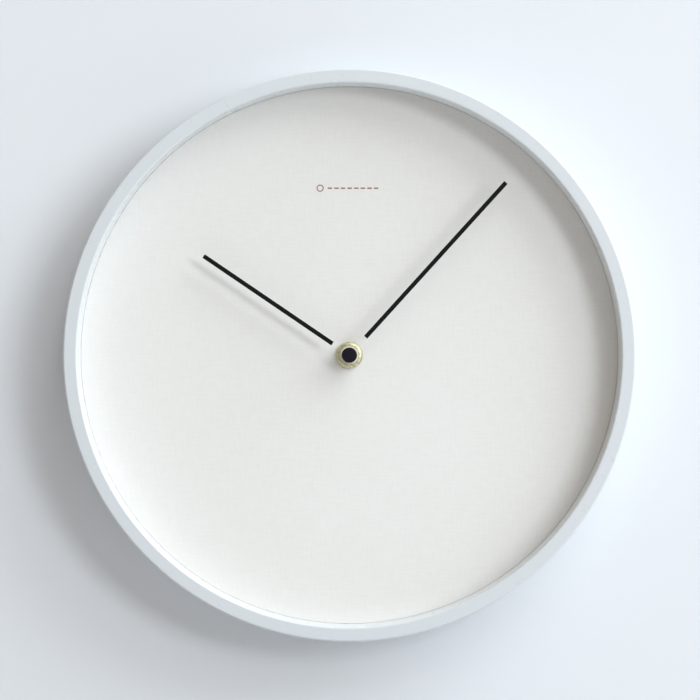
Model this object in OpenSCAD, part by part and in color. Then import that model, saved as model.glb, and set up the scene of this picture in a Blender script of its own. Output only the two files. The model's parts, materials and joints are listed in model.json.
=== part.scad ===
// Round wall clock with a deep moulded rim, a plain dial and a battery movement.
// Local frame: X right, Y up, Z = height in front of the wall, hand axis on Z.
// front() turns that into the part's own frame: +Z up, the dial facing -Y, the wall at y = 0,
// and the origin at the centre of the keyhole that hangs the clock.

/* [Case] */
// Outside diameter of the case
case_d = 300; // [290:1:320]
// Depth of the case from the wall to its front face
case_depth = 40; // [38:1:46]
// Width of the case's front face
rim_w = 7.3; // [7:0.1:10]
// Height of the keyhole above the hand axis
hook_h = 120; // [116:1:121]

/* [Hands] */
// Length of the hour hand from the axis
hour_len = 92.8; // [70:0.1:100]
// Length of the minute hand from the axis
minute_len = 122.5; // [100:0.5:130]
// Width of both hands
hand_w = 2.3; // [1.6:0.1:3]
// Distance from the axis at which the black of the hour hand begins
hour_gap = 10.8; // [9:0.1:16]
// Distance from the axis at which the black of the minute hand begins
minute_gap = 12.7; // [9:0.1:16]
// Angle of the hour hand, clockwise from twelve
hour_angle = 304.2; // [0:0.1:359]
// Angle of the minute hand, clockwise from twelve
minute_angle = 42.2; // [0:0.1:359]

/* [Movement] */
// Width and height of the movement's case
case_w = 56; // [56:1:60]
// Free gap between the flanks of two meshing gears
backlash = 0.12; // [0.1:0.01:0.14]

/* [Hidden] */
$fn = 96;
e = 0.5; // how far a cutting shape runs past the face it opens
run = 0.05; // radial clearance of a turning shaft
grip = 0.01; // radial gap of a pressed or glued joint

// Case
dial_z = 20; // height of the dial's face in front of the wall, which the movement's hub sets
dial_t = 3;
case_r = case_d / 2;
bore_r = case_r - rim_w; // inside of the rim, which frames the dial
wall_t = 2.4; // moulded wall of the hollow rim
draft = 0.5; // how far the inner wall leans in towards the dial
seat_z = dial_z - dial_t; // front face of the flange that the dial lies on
flange_t = 3;
flange_r = bore_r - 8.4;
rib_count = 24;
rib_t = 1.6;
lug_count = 6;
lug_r = bore_r - 11.4; // circle of the dial screws
lug_d = 9;
lug_z = 11;
dial_screw_d = 3;
dial_head_r = 3;
dial_head_h = 2;
dial_skin = 0.7; // dial left in front of each screw hole
post_x = 17; // the two hanger screws
post_y = hook_h + 3;
post_d = 9;
web_x = post_x + 9; // web that carries the two posts
web_y = post_y - 13;
hanger_screw_r = 1.25;
hanger_head_r = 2.6;
plate_t = 1.2; // steel keyhole plate
plate_w = 48;
plate_h = 24;
plate_r = 5;
keyhole_r = 4.5;
keyslot_w = 4.4;
keyslot_len = 10;

// Movement case, heights in front of the wall
half = case_w / 2;
shell_t = 1.2;
rear_z = 0.8;
split_z = 12.6;
front_z = 16.2;
floor_z = rear_z + shell_t;
roof_z = front_z - shell_t;
inner = half - shell_t;
bay_y = -11.5; // wall between the battery bay and the gears
cell_r = 7.25;
cell_y = -19.15;
cell_z = 8.3;
cell_x0 = -25;
cell_x1 = 24.5;
cap_len = 1;
bridge_z = 7.3; // underside of the gear plate
bridge_t = 0.8;
stake_x = 24.5;
stake_y = [-8, 15.5];
stake_r = 0.8;
pass_x = 25.9; // the contact strips pass the bay wall outside this
pivot_z = 15.5; // front end of the arbors that run in the front half
third_pin_r = 0.45;
motion_pin_r = 0.6;
setting_pin_r = 1;
step_pin_r = 0.4;
rotor_pin_r = 0.35;
knob_r = 5;

// Hub, heights in front of the wall
bush_r = 4;
bush_top = 23.6;
bush_flange_r = 5.2;
thread_pitch = 0.75;
gasket_r = 10;
tube_r = 2.5; // hour tube
arbor_r = 1.5; // minute arbor
pin_r = 0.5; // arbor of the second wheel, inside the minute arbor
nut_r = 7.1;
washer_t = 0.6;
nut_t = 2.2;
hub_r = 4.9; // clear boss of each hand
arm_t = 0.8;
bar_t = 1.2;
hour_arm_z = 28.4;
minute_arm_z = 31.2;
tube_top = 29.6;
arbor_top = 33.4;
cap_top = 35.2;
cap_r = 4.05;

// Gears: module m, and N teeth. The two pairs of each double mesh share a centre distance
pressure = 20;
m_cannon = 0.45;
n_cannon = 12;
n_motion = 36;
motion_a = m_cannon * (n_cannon + n_motion) / 2;
n_motion_pinion = 10;
n_hour = 40;
m_hour = 2 * motion_a / (n_motion_pinion + n_hour);
m_centre = 0.3;
n_centre = 60;
n_leaf = 8; // leaves of the three smallest pinions
third_a = m_centre * (n_centre + n_leaf) / 2;
n_third = 64;
m_third = 2 * third_a / (n_third + n_leaf);
m_second = 0.22;
n_second = 60;
n_step_pinion = 10;
step_a = m_second * (n_second + n_step_pinion) / 2;
m_step = 0.25;
n_step = 40;
rotor_a = m_step * (n_step + n_leaf) / 2;

// Directions from one axis to the next, and the axes they give
motion_dir = 180;
setting_dir = 150;
third_dir = 60;
step_dir = -20;
rotor_dir = 30;
motion_at = polar(motion_a, motion_dir);
setting_at = motion_at + polar(motion_a, setting_dir);
third_at = polar(third_a, third_dir);
step_at = polar(step_a, step_dir);
rotor_at = step_at + polar(rotor_a, rotor_dir);

// Stepping motor and electronics
stator_z = 2.9;
stator_t = 1;
stator_x = [4.6, 22];
arm_w = 3.4;
coil_y = 13.5;
coil_r = 2.3;
magnet_r = 3;
board_y = [18.5, 26];
board_z = 4;
board_t = 0.8;
strip_t = 0.3;

function polar(r, a) = [r * cos(a), r * sin(a)];
function arc(at, r, a0, a1, n = 12) = [for (i = [0:n]) at + polar(r, a0 + (a1 - a0) * i / n)];

// Involute flank: half the angle that a tooth covers at radius r
function involute(a) = tan(a) * 180 / PI - a;
function tooth_half(m, n, r) =
    let (pitch_r = m * n / 2, base_r = pitch_r * cos(pressure))
    (PI * m - backlash) / 4 / pitch_r * 180 / PI
    + involute(pressure) - (r > base_r ? involute(acos(base_r / r)) : 0);

// Outline of a gear with one tooth centred on direction at_angle
function gear_points(m, n, at_angle) =
    let (
        pitch_r = m * n / 2,
        tip_r = pitch_r + 0.8 * m,
        root_r = pitch_r - 1.05 * m,
        steps = n > 30 ? 2 : 4
    )
    [for (i = [0:n - 1]) for (side = [-1, 1]) for (k = [0:steps])
        let (
            along = side < 0 ? k : steps - k,
            r = root_r + (tip_r - root_r) * along / steps
        )
        polar(r, at_angle + 360 * i / n + side * tooth_half(m, n, r))];

module front() {
    translate([0, 0, -hook_h]) rotate([90, 0, 0]) children();
}

module at(p, z = 0) {
    translate([p[0], p[1], z]) children();
}

module rod(r, z0, z1) {
    translate([0, 0, z0]) cylinder(r = r, h = z1 - z0);
}

module ring(r_out, r_in, z0, z1) {
    difference() {
        rod(r_out, z0, z1);
        rod(r_in, z0 - e, z1 + e);
    }
}

// Box from one corner to the opposite one
module block(low, high) {
    translate(low) cube(high - low);
}

// Rectangle with rounded corners, from 2D shapes that stay exact
module round_rect(w, h, r) {
    square([w, h - 2 * r], center = true);
    square([w - 2 * r, h], center = true);
    for (x = [-1, 1]) for (y = [-1, 1]) translate([x * (w / 2 - r), y * (h / 2 - r)]) circle(r);
}

module gear(m, n, at_angle, z0, z1) {
    translate([0, 0, z0]) linear_extrude(z1 - z0) polygon(gear_points(m, n, at_angle));
}

// Wheel with windows between its spokes
module spoked_gear(m, n, at_angle, z0, z1, bore, spokes) {
    hub = bore + 1.5;
    rim = m * n / 2 - 2.2 * m - 0.4;
    window = (rim - hub) / 2;
    difference() {
        gear(m, n, at_angle, z0, z1);
        rod(bore, z0 - e, z1 + e);
        for (i = [0:spokes - 1])
            at(polar((hub + rim) / 2, 360 * (i + 0.5) / spokes)) rod(window * 0.92, z0 - e, z1 + e);
    }
}

// Case and hanger

module case_section() {
    outer_round = 1;
    inner_round = 0.9;
    back_round = 0.8;
    polygon(concat(
        [[case_r - wall_t, 0]],
        arc([case_r - back_round, back_round], back_round, -90, 0),
        arc([case_r - outer_round, case_depth - outer_round], outer_round, 0, 90),
        arc([bore_r + inner_round, case_depth - inner_round], inner_round, 90, 180),
        [[bore_r - draft, seat_z], [flange_r, seat_z], [flange_r, seat_z - flange_t]],
        [[bore_r + wall_t, seat_z - flange_t], [bore_r + wall_t, case_depth - wall_t]],
        [[case_r - wall_t, case_depth - wall_t]]
    ));
}

module case_ring() color([0.86, 0.88, 0.90]) front() difference() {
    union() {
        rotate_extrude($fn = 180) case_section();
        for (i = [0:rib_count - 1]) rotate((i + 0.5) * 360 / rib_count)
            block([bore_r + wall_t - e, -rib_t / 2, seat_z - flange_t],
                [case_r - wall_t + e, rib_t / 2, case_depth - wall_t]);
        for (i = [0:lug_count - 1]) rotate(i * 360 / lug_count) {
            at([lug_r, 0]) rod(lug_d / 2, lug_z, seat_z);
            block([lug_r, -lug_d / 2, lug_z], [flange_r + 1, lug_d / 2, seat_z]);
        }
        block([-web_x, web_y, seat_z - flange_t], [web_x, flange_r + 2, seat_z]);
        for (x = [-post_x, post_x]) at([x, post_y]) rod(post_d / 2, plate_t, seat_z);
    }
    for (i = [0:lug_count - 1]) rotate(i * 360 / lug_count)
        at([lug_r, 0]) rod(dial_screw_d / 2 + run, lug_z - e, seat_z + e);
    for (x = [-post_x, post_x])
        at([x, post_y]) rod(hanger_screw_r + run, plate_t - e, seat_z - flange_t);
}

module dial_board() color([0.93, 0.93, 0.92]) front() difference() {
    rod(bore_r - draft - run, seat_z, dial_z, $fn = 180);
    rod(bush_r + 0.3, seat_z - e, dial_z + e);
    for (i = [0:lug_count - 1]) rotate(i * 360 / lug_count)
        at([lug_r, 0]) rod(dial_screw_d / 2 + run, seat_z - e, dial_z - dial_skin);
}

// Crosshead recess for a screw whose head ends at z and faces the wall
module cross_cut(z, size) {
    for (a = [0, 90]) rotate(a)
        block([-size / 2, -size / 8, z - e], [size / 2, size / 8, z + size / 5]);
}

module dial_screws() color("silver") front() {
    for (i = [0:lug_count - 1]) rotate(i * 360 / lug_count) at([lug_r, 0]) difference() {
        union() {
            rod(dial_head_r, lug_z - dial_head_h + 0.8, lug_z);
            translate([0, 0, lug_z - dial_head_h])
                cylinder(r1 = dial_head_r - 1, r2 = dial_head_r, h = 0.8);
            rod(dial_screw_d / 2, lug_z, dial_z - dial_skin - 0.3);
        }
        cross_cut(lug_z - dial_head_h, 3.2);
    }
}

module hanger_plate() color([0.75, 0.76, 0.77]) front() difference() {
    at([0, post_y]) linear_extrude(plate_t) round_rect(plate_w, plate_h, plate_r);
    at([0, hook_h]) rod(keyhole_r, -e, plate_t + e);
    block([-keyslot_w / 2, hook_h, -e], [keyslot_w / 2, hook_h + keyslot_len, plate_t + e]);
    at([0, hook_h + keyslot_len]) rod(keyslot_w / 2, -e, plate_t + e);
    for (x = [-post_x, post_x]) at([x, post_y]) {
        rod(hanger_screw_r + 0.25, -e, plate_t + e);
        translate([0, 0, -0.1])
            cylinder(r1 = hanger_head_r + 0.25, r2 = hanger_screw_r + 0.25, h = plate_t + 0.1);
    }
}

module hanger_screws() color("gold") front() {
    for (x = [-post_x, post_x]) at([x, post_y]) difference() {
        union() {
            translate([0, 0, 0.1])
                cylinder(r1 = hanger_head_r, r2 = hanger_screw_r, h = plate_t - 0.1);
            rod(hanger_screw_r, plate_t, seat_z - flange_t - 1.5);
        }
        cross_cut(0.1, hanger_head_r);
    }
}

// Movement case

module battery_bore(r) {
    translate([cell_x0 - 1, cell_y, cell_z]) rotate([0, 90, 0])
        cylinder(r = r, h = cell_x1 - cell_x0 + cap_len + 2);
}

module movement_rear_case() color([0.15, 0.15, 0.16]) front() difference() {
    union() {
        difference() {
            translate([0, 0, rear_z]) linear_extrude(split_z - rear_z) round_rect(case_w, case_w, 3);
            block([-inner, bay_y + shell_t, floor_z], [inner, inner, split_z + e]);
            block([-inner, -inner, rear_z - e], [inner, bay_y, split_z + e]);
        }
        // lips that keep the cell in its bay
        block([-inner, -inner - e, rear_z], [inner, -inner + 1.4, rear_z + 1.4]);
        block([-inner, bay_y - 1.4, rear_z], [inner, bay_y + e, rear_z + 1.4]);
        // well of the setting knob
        at(setting_at) rod(knob_r + 1.5, rear_z, 4.6);
        at([0, 0]) rod(1.6, floor_z - e, 3);
        at(step_at) rod(1.4, floor_z - e, 2.6);
        at(rotor_at) rod(1.2, floor_z - e, 2.4);
        for (x = [-stake_x, stake_x]) for (y = stake_y) at([x, y]) {
            rod(1.5, floor_z - e, bridge_z);
            rod(stake_r, bridge_z - e, bridge_z + bridge_t + 0.4);
        }
        for (x = stator_x + [arm_w / 2, -arm_w / 2]) for (y = [-2.6, coil_y])
            at([x, y]) rod(1.4, floor_z - e, stator_z);
        for (x = [-21, -8, 8, 21])
            block([x - 0.6, board_y[0], floor_z - e], [x + 0.6, inner + e, board_z]);
    }
    // the two contact strips pass the bay wall here
    for (x = [-1, 1]) block([x > 0 ? pass_x : -inner, bay_y - e, floor_z],
        [x > 0 ? inner : -pass_x, bay_y + shell_t + e, split_z + e]);
    at(setting_at) rod(knob_r + 0.5, rear_z - e, 3.8);
    at(setting_at) rod(setting_pin_r + run, 3, 5 + e);
    at([0, 0]) rod(pin_r + run, 1.4, 3 + e);
    at(step_at) rod(step_pin_r + run, 1.4, 3);
    at(rotor_at) rod(rotor_pin_r + run, 1.4, 3);
    for (x = stator_x + [arm_w / 2, -arm_w / 2]) at([x, coil_y]) rod(0.75, 1.6, stator_z + e);
    // snap windows in the side walls
    for (x = [-1, 1]) for (y = [-4, 18])
        block([x * (half - 1) - 1.2, y, 10.2], [x * (half - 1) + 1.2, y + 5, 11.4]);
}

module movement_front_case() color([0.15, 0.15, 0.16]) front() difference() {
    union() {
        difference() {
            translate([0, 0, split_z]) linear_extrude(front_z - split_z) round_rect(case_w, case_w, 3);
            block([-inner, bay_y + shell_t, split_z - e], [inner, inner, roof_z]);
            block([-inner, -inner, split_z - e], [inner, bay_y, roof_z]);
        }
        at(third_at) rod(1.3, 14.2, roof_z + e);
        at(motion_at) rod(1.5, 14.5, roof_z + e);
        at(setting_at) rod(2, 14.2, roof_z + e);
        // snap hooks that catch in the windows of the rear half
        for (x = [-1, 1]) for (y = [-3.5, 18.5]) {
            block([x * (inner - 0.5) - 0.4, y, 10], [x * (inner - 0.5) + 0.4, y + 4, roof_z + e]);
            block([x * (inner - 0.1) - 0.5, y, 10.4], [x * (inner - 0.1) + 0.5, y + 4, 11.2]);
        }
    }
    rod(bush_r + run, roof_z - e, front_z + e);
    battery_bore(cell_r + 0.15);
    for (x = [-1, 1]) block([x > 0 ? pass_x : -inner, bay_y - e, split_z - e],
        [x > 0 ? inner : -pass_x, bay_y + shell_t + e, roof_z]);
    at(third_at) rod(third_pin_r + run, 14, pivot_z + 0.2);
    at(motion_at) rod(motion_pin_r + run, 14, pivot_z + 0.2);
    at(setting_at) rod(setting_pin_r + run, 14, pivot_z + 0.2);
}

module threaded_bushing() color([0.78, 0.66, 0.36]) front() difference() {
    union() {
        rod(bush_flange_r, 14.4, roof_z);
        rod(bush_r, roof_z - 0.1, bush_top);
    }
    rod(tube_r + run, 14, 24);
    // relief grooves that stand for the thread
    for (z = [dial_z + 0.9:thread_pitch:bush_top - 0.4]) translate([0, 0, z]) rotate_extrude()
        polygon([[bush_r - 0.35, 0.2], [bush_r + e, -0.25], [bush_r + e, 0.65]]);
}

module rubber_gasket() color([0.1, 0.1, 0.1]) front()
    ring(gasket_r, bush_r + 0.15, front_z, seat_z);

module brass_washer() color([0.80, 0.68, 0.38]) front()
    ring(nut_r - 0.4, bush_r + 0.15, dial_z, dial_z + washer_t);

// Round nut with a knurled edge and a domed shoulder
module dial_nut() color([0.72, 0.68, 0.46]) front() {
    z0 = dial_z + washer_t;
    z1 = z0 + nut_t;
    shoulder_z = z0 + 0.75;
    land_r = 4.9; // edge of the flat face
    knurls = 40;
    difference() {
        rotate_extrude() polygon(concat(
            [[bush_r + run, z0], [nut_r - 0.2, z0], [nut_r, z0 + 0.2]],
            [for (t = [0:10:90])
                [land_r + (nut_r - land_r) * cos(t), shoulder_z + (z1 - shoulder_z) * sin(t)]],
            [[bush_r + 0.4, z1], [bush_r + run, z1 - 0.3]]
        ));
        for (i = [0:knurls - 1]) at(polar(nut_r + 0.28, i * 360 / knurls))
            rod(0.45, z0 - e, z1 + e, $fn = 16);
    }
}

// Gear plate and going train

module gear_plate() color([0.55, 0.56, 0.58]) front() difference() {
    block([-25.8, -9.6, bridge_z], [25.8, 17, bridge_z + bridge_t]);
    rod(1.8, bridge_z - e, bridge_z + bridge_t + e);
    for (hole = [
        [setting_at, setting_pin_r],
        [motion_at, motion_pin_r],
        [third_at, third_pin_r],
        [step_at, step_pin_r],
        [rotor_at, rotor_pin_r]
    ]) at(hole[0]) rod(hole[1] + run, bridge_z - e, bridge_z + bridge_t + e);
    for (x = [-stake_x, stake_x]) for (y = stake_y)
        at([x, y]) rod(stake_r + run, bridge_z - e, bridge_z + bridge_t + e);
    // clearance at the snap hooks
    for (x = [-1, 1]) block([x * 25.2 - 0.8, -4.2, 7], [x * 25.2 + 0.8, 1.2, 9]);
}

module minute_arbor() color([0.80, 0.68, 0.38]) front() difference() {
    union() {
        rod(arbor_r, 9.5, arbor_top);
        gear(m_cannon, n_cannon, motion_dir + 180 / n_cannon, 11.2, 12.4);
        rod(2.1, 10.9, 11.2);
    }
    rod(pin_r + run, 9, 12.8);
}

module centre_wheel() color([0.88, 0.80, 0.52]) front() {
    spoked_gear(m_centre, n_centre, third_dir, 9.8, 10.6, arbor_r + grip, 5);
    ring(2.6, arbor_r + grip, 9.8, 10.9);
}

module third_wheel() color([0.90, 0.90, 0.86]) front() at(third_at) {
    spoked_gear(m_third, n_third, third_dir + 180, 8.5, 9.1, third_pin_r - run, 5);
    gear(m_centre, n_leaf, third_dir + 180 + 180 / n_leaf, 9.3, 11);
    rod(0.9, 8.3, 9.4);
    rod(third_pin_r, bridge_z + 0.1, pivot_z);
}

module second_wheel() color([0.90, 0.90, 0.86]) front() {
    spoked_gear(m_second, n_second, step_dir, 6, 6.6, pin_r - run, 4);
    gear(m_third, n_leaf, third_dir + 180 / n_leaf, 8.3, 9.2);
    rod(1, 5.8, 7);
    rod(pin_r, 1.5, 12.4);
}

module intermediate_wheel() color([0.90, 0.90, 0.86]) front() at(step_at) {
    spoked_gear(m_step, n_step, rotor_dir, 4.8, 5.4, step_pin_r - run, 4);
    gear(m_second, n_step_pinion, step_dir + 180 + 180 / n_step_pinion, 5.4, 7);
    rod(step_pin_r, 1.5, bridge_z + bridge_t - 0.1);
}

module rotor_pinion() color([0.20, 0.35, 0.62]) front() at(rotor_at) {
    gear(m_step, n_leaf, rotor_dir + 180 + 180 / n_leaf, 4.5, 5.9);
    rod(1.6, 4.2, 4.5);
    rod(rotor_pin_r, 1.5, bridge_z + bridge_t - 0.1);
}

module rotor_magnet() color([0.35, 0.35, 0.37]) front() at(rotor_at)
    ring(magnet_r, rotor_pin_r + grip, 2.6, 4.2);

module motion_wheel() color([0.90, 0.90, 0.86]) front() at(motion_at) {
    spoked_gear(m_cannon, n_motion, motion_dir + 180, 11.4, 12.2, motion_pin_r - run, 5);
    gear(m_hour, n_motion_pinion, motion_dir + 180 + 180 / n_motion_pinion, 12.2, 14.2);
    rod(1.2, 10.9, 11.5);
    rod(motion_pin_r, bridge_z + 0.1, pivot_z);
}

module hour_wheel() color([0.90, 0.90, 0.86]) front() {
    spoked_gear(m_hour, n_hour, motion_dir, 12.9, 13.9, arbor_r + run, 5);
    ring(tube_r, arbor_r + run, 12.9, tube_top);
}

module setting_knob() color([0.80, 0.25, 0.18]) front() at(setting_at) {
    flutes = 20;
    difference() {
        rod(knob_r, 1, 3.4);
        for (i = [0:flutes - 1])
            at(polar(knob_r + 0.3, i * 360 / flutes)) rod(0.6, 0.5, 4, $fn = 16);
        ring(knob_r - 1, knob_r - 2, 0.5, 1.4);
    }
    rod(setting_pin_r, 3.3, pivot_z);
    gear(m_cannon, n_cannon, setting_dir + 180 + 180 / n_cannon, 11.2, 12.4);
}

// Stepping motor

module stator() color([0.62, 0.63, 0.65]) front() translate([0, 0, stator_z]) linear_extrude(stator_t)
    difference() {
        union() {
            translate([stator_x[0], -4.4]) square([stator_x[1] - stator_x[0], 9.6]);
            for (x = [stator_x[0], stator_x[1] - arm_w])
                translate([x, 0]) square([arm_w, coil_y + arm_w / 2]);
        }
        translate(rotor_at) circle(magnet_r + 0.5);
        translate(step_at) circle(0.9);
        for (x = stator_x + [arm_w / 2, -arm_w / 2]) translate([x, coil_y]) circle(0.8);
        // notches that set the rotor's rest angle
        for (a = [45, 225]) translate(rotor_at + polar(magnet_r + 0.6, a)) circle(0.4, $fn = 24);
    }

core_z = stator_z + stator_t;
core_t = 1;
core_mid = core_z + core_t / 2;
coil_x = [stator_x[0] + arm_w, stator_x[1] - arm_w];

module coil_core() color([0.62, 0.63, 0.65]) front() difference() {
    block([stator_x[0], coil_y - 1.5, core_z], [stator_x[1], coil_y + 1.5, core_z + core_t]);
    for (x = stator_x + [arm_w / 2, -arm_w / 2]) at([x, coil_y]) rod(0.8, core_z - e, core_z + 2);
}

module coil_bobbin() color([0.92, 0.90, 0.84]) front() difference() {
    union() {
        block([coil_x[0], coil_y - 1.85, core_mid - 0.85], [coil_x[1], coil_y + 1.85, core_mid + 0.85]);
        for (x = [coil_x[0], coil_x[1] - 0.6])
            block([x, coil_y - 2.4, core_mid - 2.35], [x + 0.6, coil_y + 2.4, core_mid + 2.4]);
    }
    block([coil_x[0] - e, coil_y - 1.55, core_mid - 0.55], [coil_x[1] + e, coil_y + 1.55, core_mid + 0.55]);
}

module coil_winding() color([0.72, 0.36, 0.18]) front() difference() {
    translate([coil_x[0] + 0.65, coil_y, core_mid]) rotate([0, 90, 0])
        cylinder(r = coil_r, h = coil_x[1] - coil_x[0] - 1.3);
    block([coil_x[0], coil_y - 1.87, core_mid - 0.87], [coil_x[1], coil_y + 1.87, core_mid + 0.87]);
}

module coil_screws() color("silver") front()
    for (x = stator_x + [arm_w / 2, -arm_w / 2]) at([x, coil_y]) difference() {
        union() {
            rod(1.5, core_z + core_t, core_z + core_t + 0.9);
            rod(0.7, 1.7, core_z + core_t);
        }
        block([-2, -0.2, core_z + core_t + 0.5], [2, 0.2, core_z + core_t + 1]);
    }

// Electronics

module circuit_board() color([0.16, 0.40, 0.24]) front() difference() {
    block([-24.5, board_y[0], board_z], [24.5, board_y[1], board_z + board_t]);
    for (x = [-14.5, 14.5]) at([x, 24]) rod(0.8, board_z - e, board_z + 2);
}

module control_chip() color([0.05, 0.05, 0.05]) front() at([-5, 22.2], board_z + board_t)
    rotate_extrude() polygon(concat([[0, 0], [2.8, 0]], arc([0, -3], 4, 48, 90)));

module quartz_crystal() color([0.80, 0.81, 0.82]) front() {
    translate([3, 22.2, board_z + board_t + 1]) rotate([0, 90, 0]) cylinder(r = 1, h = 6);
    for (y = [21.8, 22.6]) block([1.4, y - 0.12, board_z + board_t + 0.9],
        [3.2, y + 0.12, board_z + board_t + 1.14]);
}

// Contact strip along a side wall: side is 1 or -1, and pad_x is where it meets the cell
module contact_strip(side, pad_x) {
    wall_x = inner - 0.2;
    bend = [[wall_x, -12.4], [pad_x + strip_t, -16.6], [pad_x + strip_t, -21.7], [wall_x, -25.6]];
    thick = [[wall_x - strip_t, -12.4], [pad_x, -16.6], [pad_x, -21.7], [wall_x - strip_t, -25.6]];
    mirror([side < 0 ? 1 : 0, 0, 0]) {
        translate([0, 0, cell_z - 3.5]) linear_extrude(7)
            polygon(concat(bend, [for (i = [3:-1:0]) thick[i]]));
        block([wall_x - strip_t, -12.6, board_z + board_t], [wall_x, 22.5, board_z + board_t + 4]);
        block([22.6, 19.6, board_z + board_t], [wall_x, 22.5, board_z + board_t + strip_t]);
    }
}

module positive_contact() color([0.83, 0.80, 0.70]) front() contact_strip(1, cell_x1 + cap_len);

module negative_contact() color([0.83, 0.80, 0.70]) front() contact_strip(-1, -cell_x0);

module battery_cell() color([0.25, 0.45, 0.30]) front() translate([cell_x0, cell_y, cell_z])
    rotate([0, 90, 0]) rotate_extrude() polygon([[0, 0], [cell_r - 0.4, 0], [cell_r, 0.4],
        [cell_r, cell_x1 - cell_x0 - 0.4], [cell_r - 0.4, cell_x1 - cell_x0],
        [0, cell_x1 - cell_x0]]);

module battery_cap() color("silver") front() translate([cell_x1, cell_y, cell_z])
    rotate([0, 90, 0]) cylinder(r = 2.75, h = cap_len);

// Hands

module socket(r, hole, z0, z1) {
    rotate_extrude() polygon([[hole, z0], [r - 0.6, z0], [r - 0.2, z0 + 0.5], [r, z1 - 0.4],
        [r, z1], [hole, z1]]);
}

// Clear boss and arm of a hand that points up
module carrier(len, hole, z) {
    difference() {
        union() {
            rod(hub_r, z, z + arm_t);
            block([-hand_w / 2, 0, z], [hand_w / 2, len, z + arm_t]);
        }
        rod(hole, z - e, z + arm_t + e);
    }
}

module bar(gap, len, z) {
    block([-hand_w / 2, gap, z], [hand_w / 2, len, z + bar_t]);
}

module hour_hand_socket() color([0.80, 0.68, 0.38]) front()
    socket(3.6, tube_r + grip, 25.6, hour_arm_z);

module hour_hand_carrier() color([0.92, 0.95, 0.96, 0.4]) front() rotate(-hour_angle)
    carrier(hour_len, tube_r + grip, hour_arm_z);

module hour_hand_bar() color([0.06, 0.06, 0.06]) front() rotate(-hour_angle)
    bar(hour_gap, hour_len, hour_arm_z + arm_t);

module minute_hand_socket() color([0.80, 0.68, 0.38]) front()
    socket(2.8, arbor_r + grip, tube_top + 0.3, minute_arm_z);

module minute_hand_carrier() color([0.92, 0.95, 0.96, 0.4]) front() rotate(-minute_angle)
    carrier(minute_len, arbor_r + grip, minute_arm_z);

module minute_hand_bar() color([0.06, 0.06, 0.06]) front() rotate(-minute_angle)
    bar(minute_gap, minute_len, minute_arm_z + arm_t);

module centre_cap() color([0.08, 0.07, 0.09]) front() {
    z0 = minute_arm_z + arm_t;
    edge = 0.7;
    rotate_extrude() polygon(concat([[arbor_r + grip, z0], [cap_r - 0.15, z0], [cap_r, z0 + 0.3]],
        arc([cap_r - edge, cap_top - edge], edge, 0, 78),
        [[0, cap_top], [0, arbor_top + 0.1], [arbor_r + grip, arbor_top + 0.1]]));
}

case_ring();
dial_board();
dial_screws();
hanger_plate();
hanger_screws();
movement_rear_case();
movement_front_case();
threaded_bushing();
rubber_gasket();
brass_washer();
dial_nut();
gear_plate();
stator();
coil_core();
coil_bobbin();
coil_winding();
coil_screws();
circuit_board();
quartz_crystal();
control_chip();
positive_contact();
negative_contact();
battery_cell();
battery_cap();
minute_arbor();
centre_wheel();
minute_hand_socket();
minute_hand_carrier();
minute_hand_bar();
centre_cap();
hour_wheel();
hour_hand_socket();
hour_hand_carrier();
hour_hand_bar();
third_wheel();
second_wheel();
intermediate_wheel();
rotor_pinion();
rotor_magnet();
motion_wheel();
setting_knob();
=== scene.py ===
"""Looks of a round wall clock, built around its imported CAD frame."""

import json
import math

import bmesh
import bpy
from mathutils import Matrix, Vector


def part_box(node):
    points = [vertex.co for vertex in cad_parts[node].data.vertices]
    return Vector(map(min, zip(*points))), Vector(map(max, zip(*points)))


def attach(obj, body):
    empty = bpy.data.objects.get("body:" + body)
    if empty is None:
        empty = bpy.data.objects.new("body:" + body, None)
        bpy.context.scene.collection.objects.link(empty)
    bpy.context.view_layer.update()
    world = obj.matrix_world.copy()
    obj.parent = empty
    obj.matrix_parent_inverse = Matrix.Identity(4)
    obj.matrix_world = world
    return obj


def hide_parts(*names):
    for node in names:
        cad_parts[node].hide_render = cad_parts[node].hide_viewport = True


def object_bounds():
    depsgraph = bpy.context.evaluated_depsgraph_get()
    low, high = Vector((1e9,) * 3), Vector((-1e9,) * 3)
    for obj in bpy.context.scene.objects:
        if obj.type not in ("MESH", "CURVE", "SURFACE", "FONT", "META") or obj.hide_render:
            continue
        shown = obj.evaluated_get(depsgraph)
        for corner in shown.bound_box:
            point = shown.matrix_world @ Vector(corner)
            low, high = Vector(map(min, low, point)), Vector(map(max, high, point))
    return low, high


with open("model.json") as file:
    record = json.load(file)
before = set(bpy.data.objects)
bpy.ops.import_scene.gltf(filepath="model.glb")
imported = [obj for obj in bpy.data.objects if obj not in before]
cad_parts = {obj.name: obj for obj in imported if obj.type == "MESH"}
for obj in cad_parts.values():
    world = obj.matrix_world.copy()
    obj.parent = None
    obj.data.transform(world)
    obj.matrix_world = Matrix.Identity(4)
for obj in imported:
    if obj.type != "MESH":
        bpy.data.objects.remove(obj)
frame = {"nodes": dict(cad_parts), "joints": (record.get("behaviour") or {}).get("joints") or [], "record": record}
cad_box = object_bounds()

MM = 0.001
NODES = frame["nodes"]
JOINTS = {j["name"]: j for j in frame["joints"]}
RIM_W = 7.3 * MM  # width of the ring's front face
CREAM_R = 4.7 * MM  # radius of the glued, creamy middle of each hand's boss
HUB = Vector(JOINTS["minute_hand_turn"]["pos_m"])  # a point on the hand axis, in the wall's plane
FRONT_Y = cad_box[0].y  # the rim's front face


def rgb(hex_colour):
    """Linear colour of a six-digit sRGB hex string."""
    parts = [int(hex_colour[i:i + 2], 16) / 255 for i in (0, 2, 4)]
    return tuple(p / 12.92 if p <= 0.04045 else ((p + 0.055) / 1.055) ** 2.4 for p in parts)


def place(x, y, z):
    """A point of the dial's own frame in metres: x right, y up, z in front of the wall, all in mm."""
    return Vector((HUB.x + x * MM, -z * MM, HUB.z + y * MM))


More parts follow.
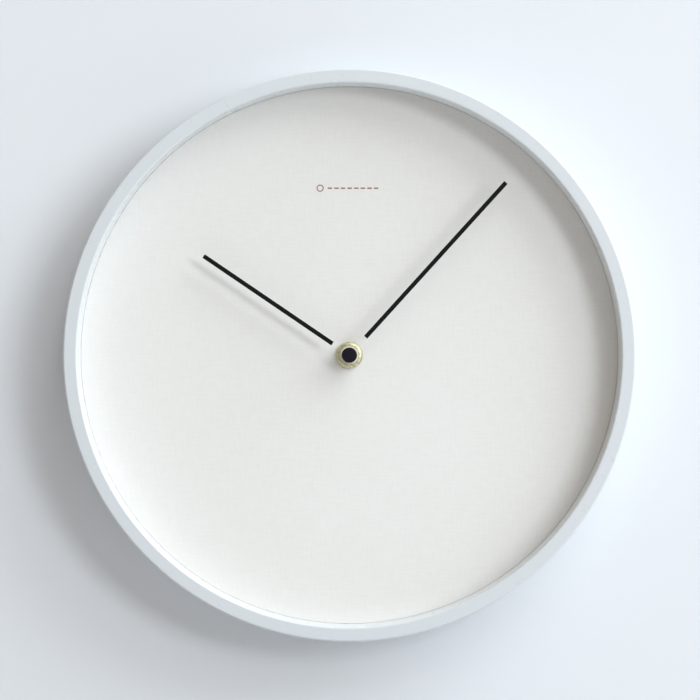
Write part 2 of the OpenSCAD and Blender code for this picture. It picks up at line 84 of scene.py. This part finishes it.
# Materials

class Graph:
    """A material's node tree, with short ways to add the nodes that every surface here uses."""

    def __init__(self, name):
        self.material = bpy.data.materials.new(name)
        self.material.use_nodes = True
        self.tree = self.material.node_tree
        self.shader = self.tree.nodes["Principled BSDF"]
        self.where = self.add("ShaderNodeTexCoord").outputs["Object"]

    def add(self, kind, **settings):
        node = self.tree.nodes.new(kind)
        for key, value in settings.items():
            setattr(node, key, value)
        return node

    def link(self, source, target):
        self.tree.links.new(source, target)

    def set(self, **sockets):
        for key, value in sockets.items():
            self.shader.inputs[key.replace("_", " ")].default_value = value

    def stretched(self, scale):
        node = self.add("ShaderNodeMapping")
        node.inputs["Scale"].default_value = scale
        self.link(self.where, node.inputs["Vector"])
        return node.outputs["Vector"]

    def noise(self, scale, detail=4.0, rough=0.5, vector=None):
        node = self.add("ShaderNodeTexNoise")
        node.inputs["Scale"].default_value = scale
        node.inputs["Detail"].default_value = detail
        node.inputs["Roughness"].default_value = rough
        self.link(vector or self.where, node.inputs["Vector"])
        return node.outputs["Fac"]

    def cells(self, scale, feature="F1", vector=None):
        node = self.add("ShaderNodeTexVoronoi", feature=feature)
        node.inputs["Scale"].default_value = scale
        self.link(vector or self.where, node.inputs["Vector"])
        return node.outputs["Distance"]

    def spread(self, value, low, high, start=0.3, end=0.7):
        """value's span from start to end, stretched to low..high."""
        node = self.add("ShaderNodeMapRange")
        for key, number in zip(("From Min", "From Max", "To Min", "To Max"), (start, end, low, high)):
            node.inputs[key].default_value = number
        self.link(value, node.inputs["Value"])
        return node.outputs["Result"]

    def blend(self, factor, one, two):
        """Colour between one and two, each a colour or a socket."""
        node = self.add("ShaderNodeMix", data_type="RGBA")
        self.link(factor, node.inputs["Factor"])
        for key, value in (("A", one), ("B", two)):
            socket = [s for s in node.inputs if s.name == key and s.type == "RGBA"][0]
            if isinstance(value, bpy.types.NodeSocket):
                self.link(value, socket)
            else:
                socket.default_value = (*value, 1)
        return [s for s in node.outputs if s.type == "RGBA"][0]

    def bump(self, height, depth, strength=1.0):
        """Adds a bump of that depth in metres, on top of any bump there is."""
        node = self.add("ShaderNodeBump")
        node.inputs["Strength"].default_value = strength
        node.inputs["Distance"].default_value = depth
        self.link(height, node.inputs["Height"])
        normal = self.shader.inputs["Normal"]
        if normal.links:
            self.link(normal.links[0].from_socket, node.inputs["Normal"])
        self.link(node.outputs["Normal"], normal)

    def from_axis(self):
        """Distance in metres from the hand axis."""
        node = self.add("ShaderNodeVectorMath", operation="DISTANCE")
        self.link(self.stretched((1, 0, 1)), node.inputs[0])
        node.inputs[1].default_value = (HUB.x, 0, HUB.z)
        return node.outputs["Value"]

    def combine(self, operation, one, two):
        node = self.add("ShaderNodeMath", operation=operation)
        self.link(one, node.inputs[0])
        self.link(two, node.inputs[1])
        return node.outputs["Value"]

    def edge(self, radius):
        """1 within about radius metres of a sharp edge, 0 on flat ground."""
        soft = self.add("ShaderNodeBevel", samples=4)
        soft.inputs["Radius"].default_value = radius
        flat = self.add("ShaderNodeNewGeometry").outputs["Normal"]
        dot = self.add("ShaderNodeVectorMath", operation="DOT_PRODUCT")
        self.link(soft.outputs["Normal"], dot.inputs[0])
        self.link(flat, dot.inputs[1])
        return self.spread(dot.outputs["Value"], 1, 0, 0.86, 0.995)


def tinted(colour, factor):
    return tuple(min(1, c * factor) for c in colour)


def moulded(name, colour, rough=0.45, grain=2500, depth=6e-6, worn=None, vary=0.05, specular=0.5):
    """Moulded plastic: fine grain, faint flow marks, and edges rubbed to the colour worn."""
    g = Graph(name)
    cloud = g.noise(14, 5, 0.6)
    base = g.blend(g.spread(cloud, 0, 1), tinted(colour, 1 - vary), tinted(colour, 1 + vary))
    scuff = g.noise(260, 3, 0.6)
    if worn:
        rubbed = g.combine("MULTIPLY", g.edge(0.25 * MM), g.spread(scuff, 0, 0.7, 0.42, 0.62))
        base = g.blend(rubbed, base, worn)
    g.link(base, g.shader.inputs["Base Color"])
    g.link(g.spread(scuff, rough * 0.82, rough * 1.2), g.shader.inputs["Roughness"])
    g.set(IOR=1.5, Specular_IOR_Level=specular)
    g.bump(g.noise(grain, 2, 0.5), depth)
    g.bump(cloud, 8 * depth, 0.4)
    return g.material


def painted_rim():
    """Pale cool lacquer on the case's face and side, with painted light in the tray: its inner wall is coloured
    lighter, which lifts the shade that falls there.
    """
    g = Graph("rim_lacquer")
    cool, warm = rgb("D2D8DC"), rgb("D6DADD")
    cloud = g.noise(9, 5, 0.55)
    base = g.blend(g.spread(cloud, 0, 1), cool, warm)
    inner_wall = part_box("case_ring")[1][0] - HUB.x - RIM_W
    # painted light: the tray's inner wall is coloured lighter so the shade on it looks lifted
    painted_light_tray_wall = g.spread(g.from_axis(), 1, 0, inner_wall - 0.4 * MM, inner_wall + 0.5 * MM)
    base = g.blend(painted_light_tray_wall, base, rgb("E0E3E4"))
    scuff = g.spread(g.noise(420, 4, 0.6), 0, 0.6, 0.45, 0.65)
    rubbed = g.combine("MULTIPLY", g.edge(0.5 * MM), scuff)
    g.link(g.blend(rubbed, base, rgb("E0E4E7")), g.shader.inputs["Base Color"])
    g.link(g.spread(g.noise(190, 4, 0.6), 0.26, 0.4), g.shader.inputs["Roughness"])
    g.set(IOR=1.48, Specular_IOR_Level=0.6)
    g.bump(g.noise(900, 2, 0.45), 1.2e-5)
    g.bump(g.noise(3800, 2, 0.5), 3e-6)
    return g.material


def dial_paper():
    """Matt off-white dial: faint fibres both ways, a fine tooth and a slow drift of tone."""
    g = Graph("dial_paper")
    pale, warm = rgb("E8E7E5"), rgb("E3E2DF")
    slow = g.noise(6, 3, 0.5)
    along = g.noise(900, 3, 0.6, g.stretched((1, 1, 0.12)))
    across = g.noise(900, 3, 0.6, g.stretched((0.12, 1, 1)))
    fibres = g.combine("ADD", along, across)
    tone = g.blend(g.spread(slow, 0, 1), pale, warm)
    base = g.blend(g.spread(fibres, 0, 0.22, 0.8, 1.2), tone, rgb("D6D3CE"))
    g.link(base, g.shader.inputs["Base Color"])
    g.link(g.spread(fibres, 0.62, 0.8, 0.8, 1.2), g.shader.inputs["Roughness"])
    g.set(IOR=1.45, Specular_IOR_Level=0.3)
    g.bump(fibres, 2.2e-5, 0.8)
    g.bump(g.noise(3200, 2, 0.5), 5e-6)
    return g.material


def metal(name, colour, rough=0.3, brushed=None, depth=2e-6, tarnish=0.12, spots=400):
    """Bare or plated metal. brushed is the stretch of its grain, and tarnish darkens patches."""
    g = Graph(name)
    patches = g.noise(spots, 5, 0.65)
    base = g.blend(g.spread(patches, 0, 1, 0.35, 0.75), colour, tinted(colour, 1 - tarnish))
    g.link(base, g.shader.inputs["Base Color"])
    grain = g.noise(1800, 3, 0.6, g.stretched(brushed)) if brushed else g.noise(1400, 4, 0.6)
    g.link(g.spread(grain, rough * 0.7, rough * 1.4), g.shader.inputs["Roughness"])
    g.set(Metallic=1.0, IOR=1.5)
    g.bump(grain, depth)
    return g.material


def olive_brass():
    """Dulled brass: yellow-green tarnish in patches, brighter along the tops of its knurling."""
    g = Graph("olive_brass")
    patches = g.noise(900, 4, 0.6)
    base = g.blend(g.spread(patches, 0, 1, 0.36, 0.64), rgb("E0DDBE"), rgb("B2B084"))
    scuff = g.spread(g.noise(2200, 3, 0.6), 0, 0.8, 0.4, 0.6)
    rubbed = g.combine("MULTIPLY", g.edge(0.12 * MM), scuff)
    g.link(g.blend(rubbed, base, rgb("F3EFD2")), g.shader.inputs["Base Color"])
    g.link(g.spread(patches, 0.26, 0.46), g.shader.inputs["Roughness"])
    g.set(Metallic=0.9, IOR=1.5)
    g.bump(g.noise(1500, 3, 0.6), 3e-5)
    return g.material


def hand_lacquer():
    """Matt black lacquer with a faint unevenness."""
    g = Graph("hand_lacquer")
    cloud = g.noise(300, 4, 0.6)
    g.link(g.blend(g.spread(cloud, 0, 1), rgb("080808"), rgb("101011")), g.shader.inputs["Base Color"])
    g.link(g.spread(g.noise(900, 3, 0.6), 0.5, 0.66), g.shader.inputs["Roughness"])
    g.set(IOR=1.5, Specular_IOR_Level=0.15)
    g.bump(g.noise(2600, 2, 0.5), 3e-6)
    return g.material


def clear_acrylic():
    """Clear sheet, frosted and creamy over the boss, where it is glued to its socket."""
    g = Graph("clear_acrylic")
    boss = g.spread(g.from_axis(), 1, 0, CREAM_R, CREAM_R + 0.1 * MM)
    mottle = g.noise(900, 3, 0.6)
    g.link(g.blend(boss, rgb("F4F8F4"), rgb("F1EAD6")), g.shader.inputs["Base Color"])
    frost = g.combine("MULTIPLY", boss, g.spread(mottle, 0.6, 0.85))
    film = g.spread(g.noise(700, 3), 0.02, 0.05)
    g.link(g.combine("MAXIMUM", frost, film), g.shader.inputs["Alpha"])
    g.link(g.spread(mottle, 0.08, 0.25), g.shader.inputs["Roughness"])
    g.set(IOR=1.49, Specular_IOR_Level=0.5)
    g.bump(mottle, 1e-5, 0.5)
    return g.material


def winding_wire():
    """Enamelled wire laid in close turns across the coil."""
    g = Graph("winding_wire")
    turns = g.add("ShaderNodeTexWave", wave_type="BANDS", bands_direction="X")
    turns.inputs["Scale"].default_value = 2200  # about one band to a turn of wire
    turns.inputs["Distortion"].default_value = 1.2
    g.link(g.where, turns.inputs["Vector"])
    g.link(g.blend(turns.outputs["Fac"], rgb("5E2410"), rgb("C5662F")), g.shader.inputs["Base Color"])
    g.link(g.spread(g.noise(1200), 0.25, 0.4), g.shader.inputs["Roughness"])
    g.set(Metallic=0.85, IOR=1.5)
    g.bump(turns.outputs["Fac"], 4e-5)
    return g.material


def circuit_green():
    """Solder mask over tracks that show as paler lines."""
    g = Graph("circuit_green")
    tracks = g.cells(420, "DISTANCE_TO_EDGE")
    lines = g.spread(tracks, 1, 0, 0.02, 0.07)
    g.link(g.blend(lines, rgb("0F4A26"), rgb("2C7C43")), g.shader.inputs["Base Color"])
    g.link(g.spread(g.noise(800), 0.25, 0.42), g.shader.inputs["Roughness"])
    g.set(IOR=1.5)
    g.bump(lines, 2e-5)
    return g.material


def cell_sleeve():
    """Plain printed sleeve of a dry cell: a dark body, a pale band near one end, fine rubs."""
    g = Graph("cell_sleeve")
    split = g.add("ShaderNodeSeparateXYZ")
    g.link(g.where, split.inputs[0])
    low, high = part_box("battery_cell")
    band_share = 0.76  # of the cell's length, up to where its pale band starts
    band_x = low.x + band_share * (high.x - low.x)
    band = g.spread(split.outputs["X"], 0, 1, band_x - 0.05 * MM, band_x + 0.05 * MM)
    rub = g.noise(700, 5, 0.7, g.stretched((0.3, 1, 1)))
    base = g.blend(band, rgb("24423A"), rgb("B9A16A"))
    base = g.blend(g.spread(rub, 0, 0.35, 0.55, 0.75), base, rgb("C9CCC8"))
    g.link(base, g.shader.inputs["Base Color"])
    g.link(g.spread(rub, 0.22, 0.42), g.shader.inputs["Roughness"])
    g.set(Metallic=0.35, IOR=1.5)
    g.bump(g.noise(500, 3, 0.5), 8e-6)
    return g.material


def printed_ink():
    """Brown screen-printed ink with slightly ragged cover."""
    g = Graph("printed_ink")
    cover = g.noise(5200, 3, 0.6)
    g.link(g.blend(g.spread(cover, 0, 1, 0.4, 0.7), rgb("8A6248"), rgb("A98367")),
           g.shader.inputs["Base Color"])
    g.link(g.spread(cover, 0.5, 0.7), g.shader.inputs["Roughness"])
    g.set(IOR=1.45, Specular_IOR_Level=0.3)
    g.bump(cover, 4e-6)
    return g.material


BRASS = rgb("C9A968")
ACROSS, ALONG = (1, 1, 0.05), (0.05, 1, 1)
MATERIALS = {
    "case_plastic": painted_rim(),
    "dial_white": dial_paper(),
    "screw_steel": metal("zinc_screw", rgb("C4C6C8"), 0.3, spots=900),
    "hanger_steel": metal("hanger_steel", rgb("AEB1B4"), 0.34, ACROSS, 6e-6),
    "hanger_screw_brass": metal("yellow_zinc", rgb("C8B06A"), 0.3, spots=900),
    "movement_black": moulded("movement_black", rgb("17181A"), 0.5, 2200, 1.4e-5, rgb("4A4C50")),
    "brass": metal("turned_brass", BRASS, 0.24),
    "nut_brass": olive_brass(),
    "gasket_rubber": moulded("gasket_rubber", rgb("1B1B1B"), 0.75, 1800, 1e-5),
    "plate_steel": metal("plate_steel", rgb("9DA0A4"), 0.32, ALONG, 5e-6),
    "soft_iron": metal("soft_iron", rgb("84878B"), 0.4, ALONG, 5e-6),
    "bobbin_nylon": moulded("bobbin_nylon", rgb("E4DDC8"), 0.4),
    "copper": winding_wire(),
    "board_green": circuit_green(),
    "crystal_can": metal("crystal_can", rgb("C6C8CA"), 0.22),
    "chip_black": moulded("chip_black", rgb("0C0C0D"), 0.25, 1200, 5e-6),
    "contact_nickel": metal("contact_nickel", rgb("BDB8A8"), 0.28, ACROSS, 4e-6),
    "cell_wrap": cell_sleeve(),
    "cell_metal": metal("cell_metal", rgb("BFC0C1"), 0.2),
    "wheel_plastic": moulded("wheel_acetal", rgb("E6E3D8"), 0.38),
    "wheel_brass": metal("wheel_brass", rgb("CDB070"), 0.28),
    "rotor_blue": moulded("rotor_acetal", rgb("254A86"), 0.35),
    "magnet": metal("sintered_magnet", rgb("55565A"), 0.55, depth=8e-6, tarnish=0.3),
    "knob_red": moulded("knob_red", rgb("A8281C"), 0.36, 2200, 6e-6, rgb("C96A58")),
    "hand_clear": clear_acrylic(),
    "hand_black": hand_lacquer(),
    "cap_black": moulded("cap_black", rgb("0E0B18"), 0.4, 1600, 4e-6, specular=0.25),
}
for row in frame["record"]["subparts"]:
    shown = NODES[row["node"]]
    shown.data.materials.clear()
    shown.data.materials.append(MATERIALS[row["material_slot"]])


# Softened edges on the CAD parts

def soften(node, width, segments=2):
    """Rounds a CAD part's sharp edges with modifiers, which leaves its own mesh as it is."""
    part = NODES[node]
    weld = part.modifiers.new("weld", "WELD")
    weld.merge_threshold = 0.002 * MM
    bevel = part.modifiers.new("bevel", "BEVEL")
    bevel.width = width * MM
    bevel.segments = segments
    bevel.limit_method = "ANGLE"
    bevel.angle_limit = math.radians(38)
    bevel.harden_normals = True


for name in ("hour_hand_bar", "minute_hand_bar"):
    soften(name, 0.06)
for name in ("hour_hand_carrier", "minute_hand_carrier", "hanger_plate"):
    soften(name, 0.08)


# New pieces

def piece(name, verts, faces, body, slot, smooth=True, material=None):
    mesh = bpy.data.meshes.new(name)
    mesh.from_pydata([tuple(v) for v in verts], [], faces)
    bm = bmesh.new()
    bm.from_mesh(mesh)
    bmesh.ops.recalc_face_normals(bm, faces=bm.faces)
    bm.to_mesh(mesh)
    bm.free()
    mesh.materials.append(material or MATERIALS[slot])
    obj = bpy.data.objects.new(name, mesh)
    bpy.context.scene.collection.objects.link(obj)
    for face in mesh.polygons:
        face.use_smooth = smooth
    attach(obj, body)
    return obj


def revolve(rings, segments):
    """Closed skin round the hand axis, from (radius, z) rings or functions of the angle giving them."""
    verts, faces = [], []
    count = len(rings)
    for s in range(segments):
        angle = 2 * math.pi * s / segments
        for r, z in (ring(angle) if callable(ring) else ring for ring in rings):
            verts.append(place(r * math.cos(angle), r * math.sin(angle), z))
    for s in range(segments):
        for i in range(count):
            a, b = s * count + i, s * count + (i + 1) % count
            c, d = ((s + 1) % segments) * count + (i + 1) % count, ((s + 1) % segments) * count + i
            faces.append((a, b, c, d))
    return verts, faces


def nut():
    """Round nut with a domed shoulder, and diamond knurling that runs up onto it."""
    low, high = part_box("dial_nut")
    outer = (high.x - low.x) / 2 / MM
    base, top = -high.y / MM, -low.y / MM
    bore, land, shoulder = 4.05, 4.9, base + 0.75
    foot, band_step, rounding = 0.2, 0.11, 9
    countersink, sink_depth = 0.35, 0.3
    knurls, steps, depth, lead = 40, 12, 0.3, 1.1
    smooth_edge, fade_width, sharpness = 0.3, 0.6, 4
    shape = [(bore, base), (outer - foot, base)]
    shape += [(outer, base + foot + band_step * k) for k in range(5)]
    for k in range(rounding + 1):
        t = math.pi / 2 * k / rounding
        shape.append((land + (outer - land) * math.cos(t), shoulder + (top - shoulder) * math.sin(t)))
    shape += [(bore + countersink, top), (bore, top - sink_depth)]

    def cut(angle, r, z):
        """How far the two crossing sets of grooves cut in at this place, from 0 to 1."""
        turn = angle * knurls / (2 * math.pi)
        pair = [abs((turn + sign * z / lead) % 1 - 0.5) * 2 for sign in (-1, 1)]
        fade = min(1, max(0, (r - land - smooth_edge) / fade_width))
        return max(pair) ** sharpness * fade

    rings = [lambda a, r=r, z=z: (r - depth * cut(a, r, z), z) for r, z in shape]
    obj = piece("knurled_nut", *revolve(rings, knurls * steps), "root", "nut_brass")
    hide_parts("dial_nut")


def flat_shape(outline, thick):
    """Closed plate on the dial's face, from its outline in mm and its thickness in mm."""
    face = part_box("dial_board")[0].y / -MM
    count = len(outline)
    verts = [place(x, y, face + dz) for dz in (0, thick) for x, y in outline]
    faces = [tuple(range(count)), tuple(range(2 * count - 1, count - 1, -1))]
    faces += [(i, (i + 1) % count, count + (i + 1) % count, count + i) for i in range(count)]
    return verts, faces


def flat_ring(x, y, outer, inner, thick, points=32):
    """Closed ring on the dial's face, from its centre, radii and thickness in mm."""
    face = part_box("dial_board")[0].y / -MM
    verts, faces = [], []
    for dz in (0, thick):
        for r in (outer, inner):
            for k in range(points):
                t = 2 * math.pi * k / points
                verts.append(place(x + r * math.cos(t), y + r * math.sin(t), face + dz))
    low_out, low_in, top_out, top_in = (n * points for n in range(4))
    for k in range(points):
        j = (k + 1) % points
        faces.append((low_out + k, low_out + j, low_in + j, low_in + k))
        faces.append((top_out + k, top_in + k, top_in + j, top_out + j))
        faces.append((low_out + k, top_out + k, top_out + j, low_out + j))
        faces.append((low_in + k, low_in + j, top_in + j, top_in + k))
    return verts, faces


def dial_mark():
    """Plain printed ornament below twelve: an open ring, and a broken rule beside it."""
    height, ink = 88, 0.06
    start, dash, gap, weight, dashes = -11.5, 2.3, 1.2, 0.75, 8
    verts, faces = [], []

    def add(more):
        count = len(verts)
        verts.extend(more[0])
        faces.extend(tuple(i + count for i in face) for face in more[1])

    for i in range(dashes):
        x = start + i * (dash + gap)
        corners = [(x, height), (x + dash, height), (x + dash, height + weight), (x, height + weight)]
        add(flat_shape(corners, ink))
    ring_x, ring_rise, outer, inner = -15.5, 0.4, 1.9, 1.35
    add(flat_ring(ring_x, height + ring_rise, outer, inner, ink))
    piece("dial_mark", verts, faces, "root", "dial_white", smooth=False, material=printed_ink())


nut()
dial_mark()


# Stage, light and camera

def wall_paint():
    """Matt paint on the side that faces the room, and nothing at all from behind."""
    g = Graph("wall_paint")
    g.link(g.blend(g.spread(g.noise(3, 3), 0, 1), rgb("E0E3E7"), rgb("E3E6EA")),
           g.shader.inputs["Base Color"])
    g.set(Roughness=0.9, Specular_IOR_Level=0.1)
    g.bump(g.noise(240, 4, 0.6), 4e-5)
    through = g.add("ShaderNodeBsdfTransparent")
    pick = g.add("ShaderNodeMixShader")
    output = g.tree.nodes["Material Output"]
    g.link(g.add("ShaderNodeNewGeometry").outputs["Backfacing"], pick.inputs[0])
    g.link(g.shader.outputs[0], pick.inputs[1])
    g.link(through.outputs[0], pick.inputs[2])
    g.link(pick.outputs[0], output.inputs["Surface"])
    return g.material


def stage():
    """Wall and floor in one sweep, in metres, with the wall open behind the case."""
    back = 0.3 * MM  # just clear of the case's rear edge
    hole, rim = 0.1497, 96
    half, top, floor_z, reach = 2.2, 1.6, -1.6, 3.0
    bend, steps = 0.35, 12
    bottom = floor_z + bend
    level = 1e-6  # a direction's share below which it never meets that edge
    centre = Vector((HUB.x, back, HUB.z))
    rays = [2 * math.pi * i / rim for i in range(rim)]
    rays = [Vector((math.cos(a), 0, math.sin(a))) for a in rays]
    verts = [centre + hole * ray for ray in rays]
    for ray in rays:  # out to the wall's rectangular edge
        spans = []
        if abs(ray.x) > level:
            spans.append(half / abs(ray.x))
        if ray.z > level:
            spans.append((top - HUB.z) / ray.z)
        if ray.z < -level:
            spans.append((bottom - HUB.z) / ray.z)
        verts.append(centre + ray * min(spans))
    faces = [(i, (i + 1) % rim, rim + (i + 1) % rim, rim + i) for i in range(rim)]
    base, row = len(verts), steps + 2
    for side in (-half, half):
        for k in range(steps + 1):
            a = math.pi / 2 * k / steps
            verts.append(Vector((side, back - bend * (1 - math.cos(a)), bottom - bend * math.sin(a))))
        verts.append(Vector((side, -reach, floor_z)))
    faces += [(base + k, base + k + 1, base + row + k + 1, base + row + k) for k in range(steps + 1)]
    mesh = bpy.data.meshes.new("wall_and_floor")
    mesh.from_pydata([tuple(v) for v in verts], [], faces)
    for face in mesh.polygons:
        if face.normal.y - face.normal.z > 0:
            face.flip()
    mesh.update()
    mesh.materials.append(wall_paint())
    obj = bpy.data.objects.new("wall_and_floor", mesh)
    bpy.context.scene.collection.objects.link(obj)


def area_light(name, towards, distance, width, height, power, colour, along=(1, 0, 0)):
    """Soft box at distance metres from the dial, in the direction towards, its width along along."""
    data = bpy.data.lights.new(name, "AREA")
    data.shape = "RECTANGLE"
    data.size, data.size_y = width, height
    data.energy = power
    data.color = colour
    lamp = bpy.data.objects.new(name, data)
    out = Vector(towards).normalized()
    across = (Vector(along) - out * Vector(along).dot(out)).normalized()
    up = out.cross(across)
    lamp.rotation_euler = Matrix((across, up, out)).transposed().to_euler()
    lamp.location = HUB + out * distance
    lamp.visible_camera = False
    bpy.context.scene.collection.objects.link(lamp)


def studio():
    """A window to the right, broad skylights high on that side, a pale ceiling, and a warm room."""
    daylight, warm = (0.88, 0.95, 1.0), (1.0, 0.9, 0.8)
    area_light("window", (0.70, -1.0, 0.24), 3.0, 1.3, 0.62, 28, daylight, (0.83, 0, -0.56))
    area_light("skylight", (2.2, -1.0, 1.6), 4.6, 2.3, 2.9, 127, daylight)
    area_light("roof_light", (1.2, -1.0, 2.3), 4.6, 2.4, 2.4, 66, daylight)
    area_light("ceiling", (0.45, -1.0, 0.85), 3.2, 1.6, 1.3, 16, daylight)
    area_light("rear_fill", (-0.3, 1.0, 0.4), 1.8, 1.4, 1.0, 14, (1.0, 1.0, 1.0))
    world = bpy.data.worlds.new("studio")
    world.use_nodes = True
    world.node_tree.nodes["Background"].inputs["Color"].default_value = (*warm, 1)
    world.node_tree.nodes["Background"].inputs["Strength"].default_value = 0.38
    bpy.context.scene.world = world
    bpy.context.scene.view_settings.view_transform = "Standard"


def camera():
    """Faces the clock squarely, from far enough back to flatten it as a long lens does."""
    away, right, up = 1.68, 0.31 * MM, 2.70 * MM
    data = bpy.data.cameras.new("camera")
    data.sensor_width = 36
    data.lens = 165.1
    eye = bpy.data.objects.new("camera", data)
    eye.location = (HUB.x + right, FRONT_Y - away, HUB.z + up)
    eye.rotation_euler = (math.radians(90), 0, 0)
    bpy.context.scene.collection.objects.link(eye)
    bpy.context.scene.camera = eye


stage()
studio()
camera()
